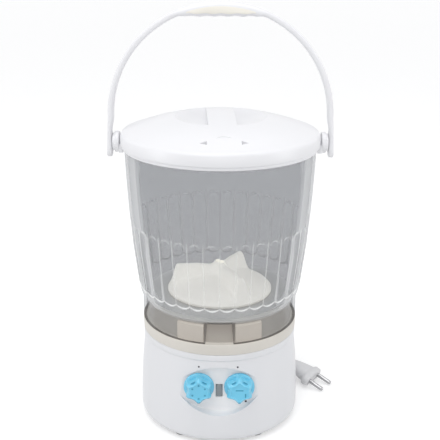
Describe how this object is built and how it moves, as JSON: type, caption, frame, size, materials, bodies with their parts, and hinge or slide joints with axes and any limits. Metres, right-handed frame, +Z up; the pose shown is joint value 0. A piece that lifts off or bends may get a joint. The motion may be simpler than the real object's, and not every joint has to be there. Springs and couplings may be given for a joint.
{
  "type": "mini washing machine",
  "caption": "Small round washing machine with a white motor base and blue knobs, a lift-off smoky clear tub, a domed white lid and an arched carrying handle.",
  "frame": {"origin": "On the floor, on the tub's axis, midway between the handle's arms.", "axes": "+Z up, -Y to the front where the two knobs are, +X to the right as seen from the front"},
  "size_m": [0.2514, 0.2951, 0.4485],
  "materials": {
    "white_plastic": "smooth moulded white plastic",
    "cream_plastic": "smooth moulded cream plastic",
    "clear_smoke": "clear smoky grey moulded plastic",
    "blue_plastic": "glossy light blue plastic",
    "grey_plastic": "fine matt light grey plastic",
    "lens_grey": "glossy dark grey lens",
    "dark_plastic": "matt dark grey plastic",
    "switch_plastic": "matt ivory plastic",
    "capacitor_can": "smooth white plastic can",
    "cord_white": "flexible white cable sheath",
    "grey_rubber": "soft grey rubber",
    "black_rubber": "black rubber",
    "screw_steel": "zinc-plated steel",
    "sheet_steel": "galvanised sheet steel",
    "lamination_steel": "stacked steel laminations",
    "shaft_steel": "ground steel",
    "cast_aluminium": "as-cast aluminium",
    "copper_wire": "varnished copper wire",
    "bearing_brass": "sintered bronze",
    "plated_metal": "nickel-plated brass"
  },
  "bodies": {
    "base": {"base_housing": "white_plastic", "base_collar": "cream_plastic", "collar_screws": "screw_steel", "bottom_plate": "grey_plastic", "rubber_feet": "grey_rubber", "base_screws": "screw_steel", "indicator_lens": "lens_grey", "motor_bracket": "sheet_steel", "bracket_screws": "screw_steel", "motor_end_caps": "cast_aluminium", "stator_core": "lamination_steel", "stator_windings": "copper_wire", "drive_belt": "black_rubber", "shaft_bearing": "bearing_brass", "timer_unit": "switch_plastic", "selector_switch": "switch_plastic", "capacitor": "capacitor_can", "capacitor_clip": "dark_plastic", "terminal_block": "switch_plastic", "inner_lead": "cord_white", "strain_relief": "cord_white", "cord_lead": "cord_white", "cord_coil": "cord_white", "cord_tail": "cord_white", "cord_tie": "dark_plastic", "plug_body": "cord_white", "plug_pins": "plated_metal"},
    "drive": {"drive_shaft": "shaft_steel", "drive_pulley": "cast_aluminium", "drive_coupler": "dark_plastic", "pulley_nut": "screw_steel"},
    "rotor": {"motor_shaft": "shaft_steel", "motor_rotor": "lamination_steel", "motor_pulley": "cast_aluminium", "cooling_fan": "dark_plastic"},
    "tub_body": {"tub": "clear_smoke", "tub_rim_ring": "white_plastic", "pivot_pins": "shaft_steel", "tub_bush": "bearing_brass", "shaft_seal": "black_rubber"},
    "agitator_body": {"agitator": "cream_plastic", "agitator_spindle": "shaft_steel", "driven_coupler": "dark_plastic", "agitator_cap": "cream_plastic"},
    "lid_body": {"lid": "white_plastic"},
    "handle": {"handle_bail": "white_plastic", "grip_insets": "cream_plastic"},
    "timer": {"timer_shaft": "shaft_steel", "timer_knob": "blue_plastic"},
    "selector": {"selector_shaft": "shaft_steel", "selector_knob": "blue_plastic"}
  },
  "joints": [
    {"name": "drive_turn", "type": "hinge", "parent": "base", "child": "drive", "pos_m": [0, 0, 0.089], "axis": [0, 0, 1], "continuous": true},
    {"name": "motor_turn", "type": "hinge", "parent": "base", "child": "rotor", "pos_m": [0, 0.046, 0.089], "axis": [0, 0, 1], "continuous": true},
    {"name": "tub_lift", "type": "slide", "parent": "base", "child": "tub_body", "axis": [0, 0, 1], "range_m": [0, 0.06]},
    {"name": "agitator_turn", "type": "hinge", "parent": "tub_body", "child": "agitator_body", "pos_m": [0, 0, 0.142], "axis": [0, 0, 1], "continuous": true},
    {"name": "lid_lift", "type": "slide", "parent": "tub_body", "child": "lid_body", "axis": [0, 0, 1], "range_m": [0, 0.05]},
    {"name": "handle_swing", "type": "hinge", "parent": "tub_body", "child": "handle", "pos_m": [0, 0, 0.3065], "axis": [1, 0, 0], "range_deg": [-126, 126]},
    {"name": "timer_turn", "type": "hinge", "parent": "base", "child": "timer", "pos_m": [-0.021, -0.076, 0.0645], "axis": [0, 1, 0], "range_deg": [0, 300]},
    {"name": "selector_turn", "type": "hinge", "parent": "base", "child": "selector", "pos_m": [0.021, -0.076, 0.0645], "axis": [0, 1, 0], "range_deg": [0, 90]}
  ],
  "couplings": [
    {"joint": "motor_turn", "follows": "drive_turn", "ratio": 4.333},
    {"joint": "agitator_turn", "follows": "drive_turn", "ratio": 1}
  ]
}
